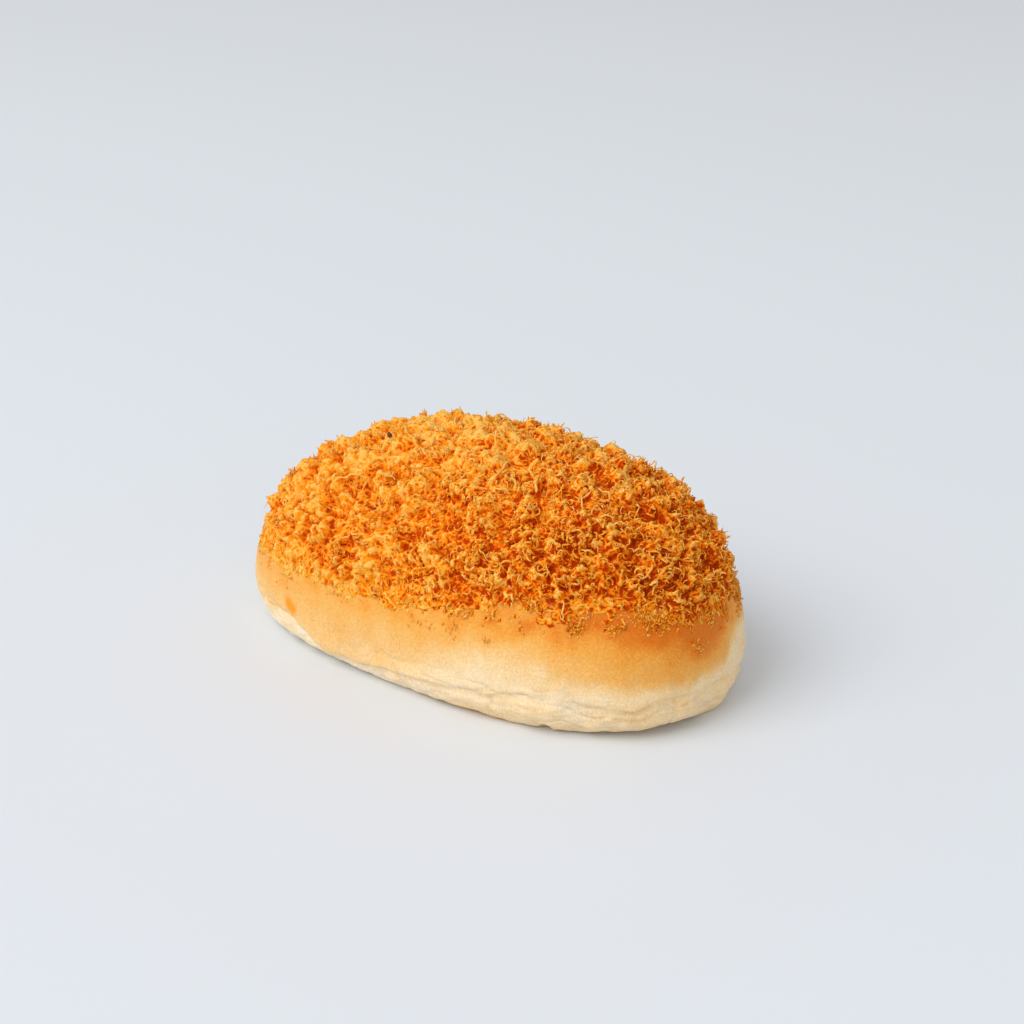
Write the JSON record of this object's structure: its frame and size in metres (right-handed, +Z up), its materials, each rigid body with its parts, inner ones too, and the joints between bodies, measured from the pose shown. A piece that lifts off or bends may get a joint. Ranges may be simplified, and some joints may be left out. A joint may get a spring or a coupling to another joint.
{
  "type": "chicken floss bun",
  "caption": "Soft oval milk bun with a pale flat base and a golden crust, its top thickly coated in crisp shredded chicken floss.",
  "frame": {"origin": "middle of the flat base that the bun stands on", "axes": "+X along the bun towards its taller end, +Y across it, +Z up from the base to the floss"},
  "size_m": [0.1378, 0.083, 0.0585],
  "materials": {
    "bread_crust": "soft satin baked crust, golden above and pale cream at the base",
    "chicken_floss": "crisp matt shredded meat floss, golden orange with deep amber hollows"
  },
  "bodies": {
    "root": {"bread": "bread_crust", "floss_coat": "chicken_floss"}
  },
  "joints": []
}
